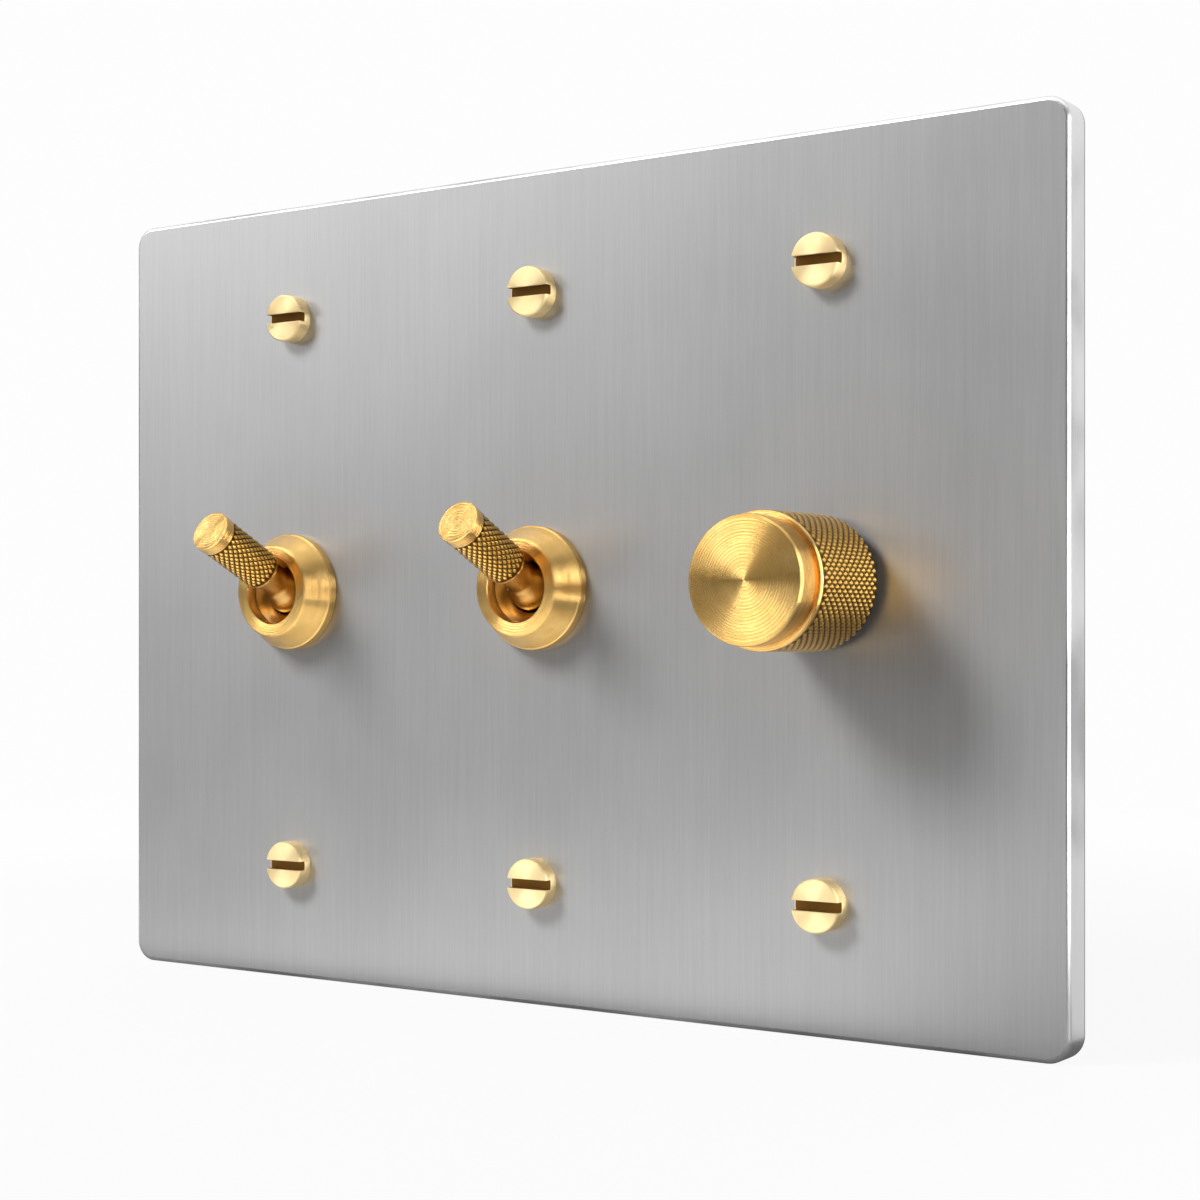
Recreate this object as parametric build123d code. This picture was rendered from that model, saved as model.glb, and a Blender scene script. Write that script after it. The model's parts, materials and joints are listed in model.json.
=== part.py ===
from build123d import *
import math
import os

# Three-gang wall plate with two toggle switches and a push-on rotary dimmer.
# Every piece is drawn with the plate lying face up: x to the plate's right, y to its top,
# z out of the wall and zero on the wall. The finished pieces are then stood upright.
# Lengths are in millimetres and angles in degrees.

# Face plate
gang_pitch = 46.04
screw_pitch = 83.34
plate_side_margin = 33.96
plate_end_margin = 17.33
plate_thickness = 5.0
plate_wall = 2.4
plate_corner = 3.2
plate_edge_round = 0.7
plate_back_edge = 0.4
pocket_corner = 3.0
pocket_clearance = 4.0

# Plate screws
screw_head_radius = 3.55
screw_head_height = 2.4
screw_head_edge = 0.2
screw_slot_width = 1.35
screw_slot_depth = 1.2
screw_thread_radius = 1.75
screw_neck_relief = 0.25
screw_thread_gap = 0.5
screw_thread_length = 20.0
screw_clearance = 0.35

# Yokes that carry the modules
yoke_thickness = 1.5
yoke_width = 33.0
yoke_ear = 8.33
yoke_corner = 4.0
yoke_waist = 4.0
yoke_waist_length = 14.0
yoke_slot_play = 2.0
rivet_radius = 1.25
rivet_head_radius = 2.2
rivet_head_height = 1.0
rivet_margin = 0.4
rivet_fit = 0.05

# Toggle lever and its swing
lever_tilt = 27.0
pivot_lift = 1.0
lever_ball_radius = 3.3
lever_ball_clearance = 0.25
lever_neck_radius = 2.3
lever_swell_height = 3.3
lever_swell_radius = 3.07
lever_swell_root = 0.9
lever_arm_radius = 1.1
lever_spigot_radius = 1.6
drive_ball_radius = 1.6
drive_engage = 0.6
drive_clearance = 0.2
pivot_pin_radius = 0.8
pivot_pin_fit = 0.02
pivot_pin_play = 0.05
pivot_pin_inset = 0.2

# Knurled grip on the lever
grip_radius = 3.15
grip_length = 12.6
grip_tip_length = 2.0
grip_collar_length = 0.5
grip_edge = 0.25
grip_bore_depth = 8.5
grip_bore_fit = 0.03
grip_gap = 0.36
grip_knurl_pitch = 0.95
grip_knurl_rise = 1.2
grip_knurl_depth = 0.28

# Bezel nut and the threaded bush under it
swing_clearance = 0.33
bezel_height = 5.0
bezel_rim_height = 1.3
bezel_rim_edge = 0.2
bezel_ring_width = 1.95
bezel_ring_edge = 0.25
bezel_bevel_width = 1.85
bezel_lip = 1.8
bush_wall = 1.05
bush_end_gap = 0.1
bush_mouth_inset = 0.05
bush_dish_depth = 1.5
bush_bore_depth = 1.5
bush_arm_clearance = 0.6
bush_flange_width = 1.6
bush_flange_thickness = 2.0
thread_fit = 0.05
panel_clearance = 0.15

# Toggle switch module
housing_wall = 2.0
housing_corner = 1.5
housing_fit = 0.1
carriage_gap = 0.5
carriage_width = 10.0
carriage_floor = 1.1
carriage_play = 0.1
carriage_end_gap = 0.5
base_thickness = 6.0
base_barrier_thickness = 1.2
base_barrier_height = 2.6
contact_pitch = 9.0
contact_width = 5.0
contact_thickness = 0.8
contact_gap = 0.05
contact_fit = 0.05
bridge_thickness = 0.5
bridge_margin = 1.5
bridge_pip_height = 0.65
detent_thickness = 0.3
detent_recess = 1.0
detent_length = 9.0
detent_bump_length = 3.0
detent_height = 2.4
detent_wall_gap = 0.06
detent_end_gap = 0.4
tab_width = 6.5
tab_length = 9.5
tab_corner = 1.2
tab_screw_inset = 3.6
tab_screw_radius = 1.5
tab_screw_length = 4.0
tab_screw_head_radius = 2.7
tab_screw_head_height = 1.7
tab_screw_slot_width = 0.8
tab_screw_slot_depth = 0.8

# Dimmer knob
knob_rest_gap = 0.4
knob_length = 18.6
knob_cap_step = 0.75
knob_cap_length = 3.3
knob_cap_edge = 0.4
knob_groove_width = 0.5
knob_groove_depth = 0.6
knob_collar_length = 0.8
knob_collar_step = 0.15
knob_collar_edge = 0.2
knob_knurl_pitch = 1.15
knob_knurl_rise = 1.4
knob_knurl_depth = 0.4
knob_skirt_wall = 0.8
knob_nut_clearance = 0.42
knob_recess_gap = 0.4
knob_bore_depth = 8.0

# Dimmer spindle and its fixing
push_travel = 1.0
spindle_radius = 3.0
spindle_flat = 0.75
spindle_fit = 0.03
spindle_play = 0.05
spindle_edge = 0.3
spindle_tail = 1.0
dimmer_bush_wall = 1.75
dimmer_bush_length = 4.0
dimmer_flange_width = 1.75
washer_width = 2.1
washer_thickness = 0.6
nut_wall = 1.6
nut_height = 2.4
clip_gap = 0.1
clip_thickness = 0.6
clip_groove_depth = 0.6
clip_width = 1.9
clip_opening = 70.0

# Dimmer module
rotor_gap = 0.4
rotor_hub_wall = 1.0
rotor_hub_height = 2.2
rotor_tail = 0.6
rotor_radius = 7.5
rotor_thickness = 1.5
rotor_play = 0.1
board_thickness = 1.6
board_clearance = 0.2
part_gap = 0.8
tub_wall = 1.6
tub_corner = 2.0
tub_floor_gap = 0.5
tub_ledge = 2.0
tub_ear_thickness = 2.6
tub_ear_width = 12.0
tub_vent_width = 1.6
tub_vent_length = 15.0
tub_vent_pitch = 4.4
tub_vent_count = 5
push_block_wall = 2.4
push_block_floor = 1.5
slider_shoulder = 0.5
slider_height = 4.0
slider_gap = 0.05
slider_spigot_radius = 2.0
slider_spigot_length = 2.0
slider_play = 0.1
spring_height = 5.0
spring_play = 0.85
spring_wire = 0.7
spring_turns = 4.0
choke_ring_radius = 4.1
choke_section_radius = 1.7
capacitor_length = 13.0
capacitor_width = 7.0
capacitor_height = 10.0
capacitor_corner = 0.8
triac_width = 10.0
triac_length = 9.0
triac_height = 4.4
triac_tab_length = 6.0
triac_tab_thickness = 1.3
triac_leg_width = 0.8
triac_leg_thickness = 0.5
triac_leg_pitch = 2.54
clamp_pitch = 9.5
clamp_width = 6.0
clamp_length = 7.0
clamp_height = 8.0
clamp_wire_radius = 1.8
clamp_wire_depth = 2.6
clamp_screw_radius = 1.5
clamp_screw_length = 5.0
clamp_screw_head_radius = 2.4
clamp_screw_head_height = 1.8
clamp_screw_slot_width = 0.8
clamp_screw_slot_depth = 0.9
clamp_access_radius = 2.8

# Levels and sizes that follow from the ones above
plate_width = 2 * (gang_pitch + plate_side_margin)
plate_height = screw_pitch + 2 * plate_end_margin
yoke_length = screw_pitch + 2 * yoke_ear
yoke_front = plate_thickness - plate_wall
yoke_back = yoke_front - yoke_thickness
flange_back = yoke_back - bush_flange_thickness
pivot_level = plate_thickness + pivot_lift
tilt_sine = math.sin(math.radians(lever_tilt))
tilt_cosine = math.cos(math.radians(lever_tilt))
tilt_tangent = tilt_sine / tilt_cosine

bezel_face = plate_thickness + bezel_height
bezel_hole = (bezel_height - pivot_lift) * tilt_tangent + lever_neck_radius / tilt_cosine + swing_clearance
bush_radius = bezel_hole + bush_wall
bush_front = bezel_face - bezel_lip - bush_end_gap
bush_flange_radius = bush_radius + bush_flange_width
bush_bore = lever_ball_radius + lever_ball_clearance
grip_start = (bezel_height - pivot_lift + grip_gap + grip_radius * tilt_sine) / tilt_cosine

drive_arm = (pivot_level - flange_back + carriage_gap + drive_engage) / tilt_cosine
drive_throw = drive_arm * tilt_sine
carriage_top = flange_back - carriage_gap
drive_pocket_floor = pivot_level - drive_arm - drive_ball_radius - drive_clearance
carriage_bottom = drive_pocket_floor - carriage_floor
bridge_bottom = carriage_bottom - bridge_thickness
contact_top = bridge_bottom - bridge_pip_height - contact_gap
base_top = contact_top - contact_thickness
base_bottom = base_top - base_thickness
cavity_half = contact_pitch + contact_width / 2 + carriage_end_gap
carriage_length = 2 * (cavity_half - drive_throw - carriage_end_gap)
switch_width = 2 * (bush_flange_radius + housing_fit + housing_wall)
switch_rivet = cavity_half + housing_wall + rivet_head_radius
switch_length = 2 * (switch_rivet + rivet_head_radius + rivet_margin)

dimmer_bush_radius = spindle_radius + dimmer_bush_wall
nut_flat_radius = dimmer_bush_radius + nut_wall
nut_corner_radius = nut_flat_radius / math.cos(math.pi / 6)
knob_base = plate_thickness + push_travel + knob_rest_gap
knob_front = knob_base + knob_length
knob_recess = plate_thickness + dimmer_bush_length + push_travel + knob_recess_gap
knob_recess_radius = nut_corner_radius + knob_nut_clearance
knob_radius = knob_recess_radius + knob_skirt_wall + knob_knurl_depth
knob_cap_radius = knob_radius - knob_cap_step
knob_groove_radius = knob_cap_radius - knob_groove_depth
clip_front = flange_back - clip_gap
clip_back = clip_front - clip_thickness
rotor_top = clip_back - push_travel - rotor_gap
rotor_flange_top = rotor_top - rotor_hub_height
board_top = rotor_flange_top - rotor_thickness - rotor_play
board_bottom = board_top - board_thickness
rotor_hub_radius = spindle_radius + rotor_hub_wall
spindle_back = board_bottom - rotor_tail - spindle_tail
slider_radius = rotor_hub_radius + slider_shoulder
spring_radius = slider_spigot_radius + spring_play + spring_wire / 2
push_block_width = 2 * (slider_radius + slider_play + push_block_wall)
slider_top = spindle_back - slider_gap
slider_bottom = slider_top - slider_height
spring_floor = slider_bottom - spring_height
push_block_bottom = spring_floor - push_block_floor
tub_floor = push_block_bottom - tub_floor_gap
tub_bottom = tub_floor - tub_wall

choke_radius = choke_ring_radius + choke_section_radius
choke_place = -(push_block_width / 2 + part_gap + choke_radius)
clamp_place = choke_place - choke_radius - part_gap - clamp_length / 2
tub_half_length = clamp_length / 2 + part_gap + tub_ledge - clamp_place
tub_half_width = clamp_pitch + clamp_width / 2 + part_gap
capacitor_place = push_block_width / 2 + part_gap + capacitor_length / 2
triac_place = rotor_radius + part_gap + triac_length / 2
tub_rivet = tub_half_length + tub_wall + rivet_head_radius + rivet_margin

gang_left = -gang_pitch
gang_middle = 0.0
gang_right = gang_pitch
base_up = (Align.CENTER, Align.CENTER, Align.MIN)
stand_upright = Rot(90, 0, 0)


def rod(radius, low, high):
    return Pos(0, 0, low) * Cylinder(radius, high - low, align=base_up)


def block(width, length, low, high):
    return Pos(0, 0, low) * Box(width, length, high - low, align=base_up)


def rounded_block(width, length, corner, low, high):
    return Pos(0, 0, low) * extrude(RectangleRounded(width, length, corner), high - low)


def turned(*outline):
    """Solid of revolution about z from a closed outline of (radius, z) points."""
    profile = make_face(Plane.XZ * Polyline(*outline, close=True))
    return revolve(profile, Axis.Z)


def along_y(piece):
    """Turns a piece drawn along z so that it points along y."""
    return Rot(-90, 0, 0) * piece


def mirrored_pair(piece, offset):
    """Two copies of a piece, set above and below the gang's centre."""
    return [Pos(0, offset, 0) * piece, Pos(0, -offset, 0) * piece]


def slotted_screw(head_radius, head_height, edge, slot_width, slot_depth, shank):
    """Screw with its head standing on z = 0 and its shank outline below."""
    screw = turned(
        (0, head_height),
        (head_radius - edge, head_height),
        (head_radius, head_height - edge),
        (head_radius, 0),
        *shank,
    )
    slot = block(2 * head_radius, slot_width, head_height - slot_depth, head_height)
    return screw - slot


def knurled_band(radius, length, pitch, rise, depth):
    """Solid band whose skin is a lattice of raised diamonds between crossing grooves."""
    valley = radius - depth
    starts = round(2 * math.pi * radius / pitch)
    rows = 2 * round(length / rise)
    columns = 2 * starts

    def lattice_point(row, column):
        raised = (row + column) % 2 == 1 and 0 < row < rows
        reach = radius if raised else valley
        angle = math.pi * column / starts
        return Vector(reach * math.cos(angle), reach * math.sin(angle), length * row / rows)

    def facet(*corners):
        return Face(Wire.make_polygon(corners, close=True))

    skin = []
    for row in range(rows):
        for column in range(columns):
            near = lattice_point(row, column)
            beside = lattice_point(row, column + 1)
            across = lattice_point(row + 1, column + 1)
            above = lattice_point(row + 1, column)
            if (row + column) % 2 == 0:
                skin += [facet(near, beside, across), facet(near, across, above)]
            else:
                skin += [facet(near, beside, above), facet(beside, across, above)]
    for row in (0, rows):
        skin.append(facet(*[lattice_point(row, column) for column in range(columns)]))
    return Solid(Shell(skin))


def d_section(radius, flat, low, high):
    """Round bar with one flat, as on a control spindle."""
    bar = rod(radius, low, high)
    keep = Pos(-flat, 0, 0) * block(2 * radius, 2 * radius, low, high)
    return bar & keep


# Face plate and its screws

def screw_places():
    gangs = (gang_left, gang_middle, gang_right)
    return [Pos(gang, row * screw_pitch / 2, 0) for gang in gangs for row in (-1, 1)]


def face_plate():
    slab = rounded_block(plate_width, plate_height, plate_corner, 0, plate_thickness)
    slab = fillet(slab.faces().sort_by(Axis.Z)[-1].edges(), plate_edge_round)
    slab = chamfer(slab.faces().sort_by(Axis.Z)[0].edges(), plate_back_edge)
    pocket_width = 2 * gang_pitch + yoke_width + 2 * pocket_clearance
    pocket_height = yoke_length + 2 * pocket_clearance
    slab -= rounded_block(pocket_width, pocket_height, pocket_corner, 0, yoke_front)
    for gang in (gang_left, gang_middle):
        slab -= Pos(gang, 0, 0) * rod(bush_radius + panel_clearance, yoke_front, plate_thickness)
    slab -= Pos(gang_right, 0, 0) * rod(dimmer_bush_radius + panel_clearance, yoke_front, plate_thickness)
    for place in screw_places():
        slab -= place * rod(screw_thread_radius + screw_clearance, yoke_front, plate_thickness)
    return slab


def plate_screws():
    thread_top = yoke_back - screw_thread_gap - plate_thickness
    thread_end = thread_top - screw_thread_length
    neck_radius = screw_thread_radius - screw_neck_relief
    shank = (
        (neck_radius, 0),
        (neck_radius, thread_top),
        (screw_thread_radius, thread_top),
        (screw_thread_radius, thread_end),
        (0, thread_end),
    )
    screw = slotted_screw(
        screw_head_radius, screw_head_height, screw_head_edge, screw_slot_width, screw_slot_depth, shank
    )
    screw = Pos(0, 0, plate_thickness) * screw
    return [place * screw for place in screw_places()]


# Yokes and rivets

def yoke(bush_hole, rivet_place):
    """Flat strap with waisted ends, slotted ears, a bush hole and two rivet holes."""
    strap = RectangleRounded(yoke_width, yoke_length, yoke_corner)
    waist = SlotOverall(yoke_waist_length, 2 * yoke_waist, rotation=90)
    waist_places = GridLocations(yoke_width, screw_pitch - 2 * yoke_waist_length, 2, 2)
    strap -= [place * waist for place in waist_places]
    ear_hole = screw_thread_radius + screw_clearance
    ear_slot = SlotCenterToCenter(yoke_slot_play, 2 * ear_hole)
    strap -= mirrored_pair(ear_slot, screw_pitch / 2)
    strap -= Circle(bush_hole)
    strap -= mirrored_pair(Circle(rivet_radius + rivet_fit), rivet_place)
    return Pos(0, 0, yoke_back) * extrude(strap, yoke_thickness)


def rivets(place, back):
    rivet = turned(
        (0, yoke_front),
        (rivet_radius, yoke_front),
        (rivet_radius, back),
        (rivet_head_radius, back),
        (rivet_head_radius, back - rivet_head_height / 2),
        (rivet_radius, back - rivet_head_height),
        (0, back - rivet_head_height),
    )
    return mirrored_pair(rivet, place)


# Bezel, bush, lever and grip of one toggle, at the middle of its gang

def bezel_nut():
    ring_radius = bezel_hole + bezel_ring_width
    rim_radius = ring_radius + bezel_bevel_width
    thread_radius = bush_radius + thread_fit
    thread_top = bezel_face - bezel_lip
    return turned(
        (thread_radius, plate_thickness),
        (rim_radius, plate_thickness),
        (rim_radius, plate_thickness + bezel_rim_height),
        (rim_radius - bezel_rim_edge, plate_thickness + bezel_rim_height + bezel_rim_edge),
        (ring_radius, bezel_face - bezel_ring_edge),
        (ring_radius - bezel_ring_edge, bezel_face),
        (bezel_hole + bezel_ring_edge, bezel_face),
        (bezel_hole, bezel_face - bezel_ring_edge),
        (bezel_hole, thread_top),
        (thread_radius, thread_top),
    )


def toggle_bush():
    arm_depth = pivot_level - flange_back
    tail_radius = arm_depth * tilt_tangent + lever_arm_radius / tilt_cosine + bush_arm_clearance
    barrel = turned(
        (bezel_hole - bush_mouth_inset, bush_front),
        (bush_radius, bush_front),
        (bush_radius, yoke_back),
        (bush_flange_radius, yoke_back),
        (bush_flange_radius, flange_back),
        (tail_radius, flange_back),
        (bush_bore, pivot_level - bush_bore_depth),
        (bush_bore, bush_front - bush_dish_depth),
    )
    return barrel - pivot_bar(pivot_pin_radius + pivot_pin_fit, 2 * bush_radius)


def pivot_bar(radius, length):
    bar = rod(radius, -length / 2, length / 2)
    return Pos(0, 0, pivot_level) * Rot(0, 90, 0) * bar


def pivot_pin():
    return pivot_bar(pivot_pin_radius, 2 * (bush_radius - pivot_pin_inset))


def tilted(piece):
    """Leans a piece drawn along z about the pivot, up to the lever's upper stop."""
    return Pos(0, 0, pivot_level) * Rot(-lever_tilt, 0, 0) * piece


def toggle_lever():
    lever = Sphere(lever_ball_radius)
    lever += turned(
        (0, lever_swell_root),
        (lever_swell_radius, lever_swell_root),
        (lever_neck_radius, lever_swell_height),
        (0, lever_swell_height),
    )
    lever += rod(lever_neck_radius, 0, grip_start)
    lever += rod(lever_spigot_radius, grip_start, grip_start + grip_bore_depth)
    lever += rod(lever_arm_radius, -drive_arm, 0)
    lever += Pos(0, 0, -drive_arm) * Sphere(drive_ball_radius)
    lever = tilted(lever)
    return lever - pivot_bar(pivot_pin_radius + pivot_pin_play, 2 * lever_ball_radius)


def lever_grip():
    knurl_end = grip_length - grip_tip_length
    knurl_length = knurl_end - grip_collar_length
    band = knurled_band(grip_radius, knurl_length, grip_knurl_pitch, grip_knurl_rise, grip_knurl_depth)
    grip = rod(grip_radius - grip_knurl_depth, 0, grip_collar_length)
    grip += Pos(0, 0, grip_collar_length) * band
    grip += turned(
        (0, knurl_end),
        (grip_radius - grip_edge, knurl_end),
        (grip_radius, knurl_end + grip_edge),
        (grip_radius, grip_length - grip_edge),
        (grip_radius - grip_edge, grip_length),
        (0, grip_length),
    )
    grip -= rod(lever_spigot_radius + grip_bore_fit, 0, grip_bore_depth)
    return tilted(Pos(0, 0, grip_start) * grip)


# Switch module behind one toggle

def switch_rivet_holes(low, high):
    return mirrored_pair(rod(rivet_radius + rivet_fit, low, high), switch_rivet)


def switch_housing():
    shell = rounded_block(switch_width, switch_length, housing_corner, base_top, yoke_back)
    shell -= rod(bush_flange_radius + housing_fit, flange_back, yoke_back)
    shell -= block(carriage_width + 2 * carriage_play, 2 * cavity_half, base_top, flange_back)
    return shell - switch_rivet_holes(base_top, yoke_back)


def terminal_places():
    return [Pos(0, step * contact_pitch, 0) for step in (-1, 0, 1)]


def switch_base():
    slab = rounded_block(switch_width, switch_length, housing_corner, base_bottom, base_top)
    slot = block(tab_width + 2 * contact_fit, contact_thickness + 2 * contact_fit, base_bottom, base_top)
    slab -= [place * slot for place in terminal_places()]
    barrier_end = base_bottom - base_barrier_height
    barrier = block(switch_width - 2 * housing_corner, base_barrier_thickness, barrier_end, base_bottom)
    for barrier_copy in mirrored_pair(barrier, contact_pitch / 2):
        slab += barrier_copy
    return slab - switch_rivet_holes(base_bottom, base_top)


def tab_screw_level():
    return base_bottom - tab_length + tab_screw_inset


def switch_terminals():
    """Three contact plates on the base, each with a tab that comes out behind it."""
    tab_end = base_bottom - tab_length
    tab_outline = RectangleRounded(tab_width, base_top - tab_end, tab_corner)
    tab = Pos(0, contact_thickness / 2, (base_top + tab_end) / 2) * Rot(90, 0, 0)
    tab = tab * extrude(tab_outline, contact_thickness)
    hole = rod(tab_screw_radius + contact_fit, -contact_thickness, contact_thickness)
    terminal = block(contact_width, contact_width, base_top, contact_top) + tab
    terminal -= Pos(0, 0, tab_screw_level()) * along_y(hole)
    return [place * terminal for place in terminal_places()]


def terminal_screws():
    shank = (
        (tab_screw_radius, 0),
        (tab_screw_radius, -tab_screw_length),
        (0, -tab_screw_length),
    )
    screw = slotted_screw(
        tab_screw_head_radius,
        tab_screw_head_height,
        screw_head_edge,
        tab_screw_slot_width,
        tab_screw_slot_depth,
        shank,
    )
    screw = Pos(0, contact_thickness / 2, tab_screw_level()) * along_y(screw)
    return [place * screw for place in terminal_places()]


def at_carriage(piece):
    """Moves a piece drawn at mid travel to where the raised lever holds the carriage."""
    return Pos(0, -drive_throw, 0) * piece


def slide_carriage():
    body = block(carriage_width, carriage_length, carriage_bottom, carriage_top)
    pocket_width = 2 * (drive_ball_radius + drive_clearance)
    body -= block(pocket_width, pocket_width, drive_pocket_floor, carriage_top)
    recess = block(detent_recess, detent_length + 2 * detent_end_gap, carriage_bottom, carriage_top)
    body -= Pos((carriage_width - detent_recess) / 2, 0, 0) * recess
    return at_carriage(body)


def bridge_contact():
    strip = block(contact_width, contact_pitch + 2 * bridge_margin, bridge_bottom, carriage_bottom)
    pip = turned(
        (0, bridge_bottom),
        (bridge_margin, bridge_bottom),
        (bridge_margin / 2, bridge_bottom - bridge_pip_height),
        (0, bridge_bottom - bridge_pip_height),
    )
    for pip_copy in mirrored_pair(pip, contact_pitch / 2):
        strip += pip_copy
    return at_carriage(strip)


def detent_leaf():
    """Strip spring in the carriage's side, bowed out towards the housing wall."""
    seat = carriage_width / 2 - detent_recess
    crest = carriage_width / 2 + carriage_play - detent_wall_gap
    end = detent_length / 2
    bump = detent_bump_length / 2
    outer_seat = seat + detent_thickness
    outline = Polyline(
        (seat, -end),
        (seat, -bump),
        (crest - detent_thickness, 0),
        (seat, bump),
        (seat, end),
        (outer_seat, end),
        (outer_seat, bump),
        (crest, 0),
        (outer_seat, -bump),
        (outer_seat, -end),
        close=True,
    )
    strip = extrude(make_face(outline), detent_height)
    middle = (carriage_top + carriage_bottom - detent_height) / 2
    return at_carriage(Pos(0, 0, middle) * strip)


# Dimmer knob, spindle and fixing, at the middle of the right gang

def dimmer_knob():
    cap_back = knob_front - knob_cap_length
    collar_front = cap_back - knob_groove_width
    knurl_end = collar_front - knob_collar_length
    collar_radius = knob_radius - knob_collar_step
    collar_corner = collar_radius - knob_collar_edge
    band = knurled_band(
        knob_radius, knurl_end - knob_base, knob_knurl_pitch, knob_knurl_rise, knob_knurl_depth
    )
    knob = Pos(0, 0, knob_base) * band
    knob += turned(
        (0, knurl_end),
        (collar_corner, knurl_end),
        (collar_radius, knurl_end + knob_collar_edge),
        (collar_radius, collar_front - knob_collar_edge),
        (collar_corner, collar_front),
        (knob_groove_radius, collar_front),
        (knob_groove_radius, cap_back),
        (knob_cap_radius, cap_back),
        (knob_cap_radius, knob_front - knob_cap_edge),
        (knob_cap_radius - knob_cap_edge, knob_front),
        (0, knob_front),
    )
    knob -= rod(knob_recess_radius, knob_base, knob_recess)
    return knob - d_section(spindle_radius + spindle_fit, spindle_flat, knob_recess, knob_bore_end())


def knob_bore_end():
    return knob_recess + knob_bore_depth


def dimmer_spindle():
    """Round in the bush, flattened under the knob and at the rotor, grooved for the clip."""
    top = knob_bore_end() - spindle_edge
    spindle = d_section(spindle_radius, spindle_flat, knob_recess, top)
    spindle += rod(spindle_radius, clip_back, knob_recess)
    spindle += d_section(spindle_radius, spindle_flat, spindle_back, clip_back)
    groove = rod(spindle_radius, clip_back, clip_front)
    groove -= rod(spindle_radius - clip_groove_depth, clip_back, clip_front)
    return spindle - groove


def spindle_clip():
    inner = spindle_radius - clip_groove_depth + spindle_fit
    ring = rod(inner + clip_width, clip_back, clip_front) - rod(inner, clip_back, clip_front)
    reach = 2 * (inner + clip_width)
    half_gap = reach * math.tan(math.radians(clip_opening / 2))
    gap = make_face(Polyline((0, 0), (reach, -half_gap), (reach, half_gap), close=True))
    return ring - Pos(0, 0, clip_back) * extrude(gap, clip_thickness)


def dimmer_bush():
    front = plate_thickness + dimmer_bush_length
    bore = spindle_radius + spindle_play
    flange_radius = dimmer_bush_radius + dimmer_flange_width
    return turned(
        (bore, front),
        (dimmer_bush_radius, front),
        (dimmer_bush_radius, yoke_back),
        (flange_radius, yoke_back),
        (flange_radius, flange_back),
        (bore, flange_back),
    )


def lock_washer():
    inner = dimmer_bush_radius + thread_fit
    top = plate_thickness + washer_thickness
    return rod(inner + washer_width, plate_thickness, top) - rod(inner, plate_thickness, top)


def dimmer_nut():
    low = plate_thickness + washer_thickness
    outline = RegularPolygon(nut_flat_radius, side_count=6, major_radius=False)
    return Pos(0, 0, low) * extrude(outline - Circle(dimmer_bush_radius + thread_fit), nut_height)


# Dimmer module behind the knob

def dimmer_tub():
    width = 2 * tub_half_width
    length = 2 * tub_half_length
    tub = rounded_block(width + 2 * tub_wall, length + 2 * tub_wall, tub_corner, tub_bottom, yoke_back)
    ear_length = 2 * (tub_rivet + rivet_head_radius + rivet_margin)
    ear_low = yoke_back - tub_ear_thickness
    tub += rounded_block(tub_ear_width, ear_length, tub_corner, ear_low, yoke_back)
    tub -= block(width, length, tub_floor, yoke_back)
    ledge = block(width, tub_ledge, tub_floor, board_bottom)
    for ledge_copy in mirrored_pair(ledge, tub_half_length - tub_ledge / 2):
        tub += ledge_copy
    tub -= mirrored_pair(rod(rivet_radius + rivet_fit, ear_low, yoke_back), tub_rivet)
    wire_start = clamp_length / 2
    wire_entry = rod(clamp_wire_radius, wire_start, wire_start + part_gap + tub_ledge + tub_wall)
    wire_entry = Pos(0, 0, board_bottom - clamp_wire_depth) * Rot(90, 0, 0) * wire_entry
    for place in clamp_places():
        tub -= place * rod(clamp_access_radius, tub_bottom, tub_floor)
        tub -= place * wire_entry
    vent_outline = SlotOverall(tub_vent_length, tub_vent_width, rotation=90)
    vent = Pos(0, 0, tub_bottom) * extrude(vent_outline, tub_wall)
    for place in GridLocations(tub_vent_pitch, 0, tub_vent_count, 1):
        tub -= Pos(0, capacitor_place, 0) * place * vent
    return tub


def dimmer_board():
    width = 2 * (tub_half_width - board_clearance)
    length = 2 * (tub_half_length - board_clearance)
    sheet = block(width, length, board_bottom, board_top)
    return sheet - rod(rotor_hub_radius + rotor_play, board_bottom, board_top)


def dimmer_rotor():
    """Hub on the spindle's flat with the flange that carries the wiper over the board."""
    hub = rod(rotor_hub_radius, board_bottom - rotor_tail, rotor_top)
    hub += rod(rotor_radius, rotor_flange_top - rotor_thickness, rotor_flange_top)
    return hub - d_section(spindle_radius + spindle_play, spindle_flat, board_bottom - rotor_tail, rotor_top)


def push_switch():
    shell = block(push_block_width, push_block_width, push_block_bottom, board_bottom)
    return shell - rod(slider_radius + slider_play, spring_floor, board_bottom)


def push_slider():
    return turned(
        (0, slider_top),
        (slider_radius, slider_top),
        (slider_radius, slider_bottom),
        (slider_spigot_radius, slider_bottom),
        (slider_spigot_radius, slider_bottom - slider_spigot_length),
        (0, slider_bottom - slider_spigot_length),
    )


def push_spring():
    """Coil between the slider and the floor of its block."""
    coil_height = spring_height - spring_wire
    coil = Helix(coil_height / spring_turns, coil_height, spring_radius)
    section = Plane(origin=coil @ 0, z_dir=coil % 0) * RegularPolygon(spring_wire / 2, side_count=8)
    wire = sweep(section, path=coil, is_frenet=True)
    return Pos(0, 0, spring_floor + spring_wire / 2) * wire


def choke_coil():
    ring = Torus(choke_ring_radius, choke_section_radius)
    return Pos(0, choke_place, board_bottom - choke_section_radius) * ring


def film_capacitor():
    case = block(capacitor_width, capacitor_length, board_bottom - capacitor_height, board_bottom)
    case = fillet(case.edges().filter_by(Axis.Z), capacitor_corner)
    return Pos(0, capacitor_place, 0) * case


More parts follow.
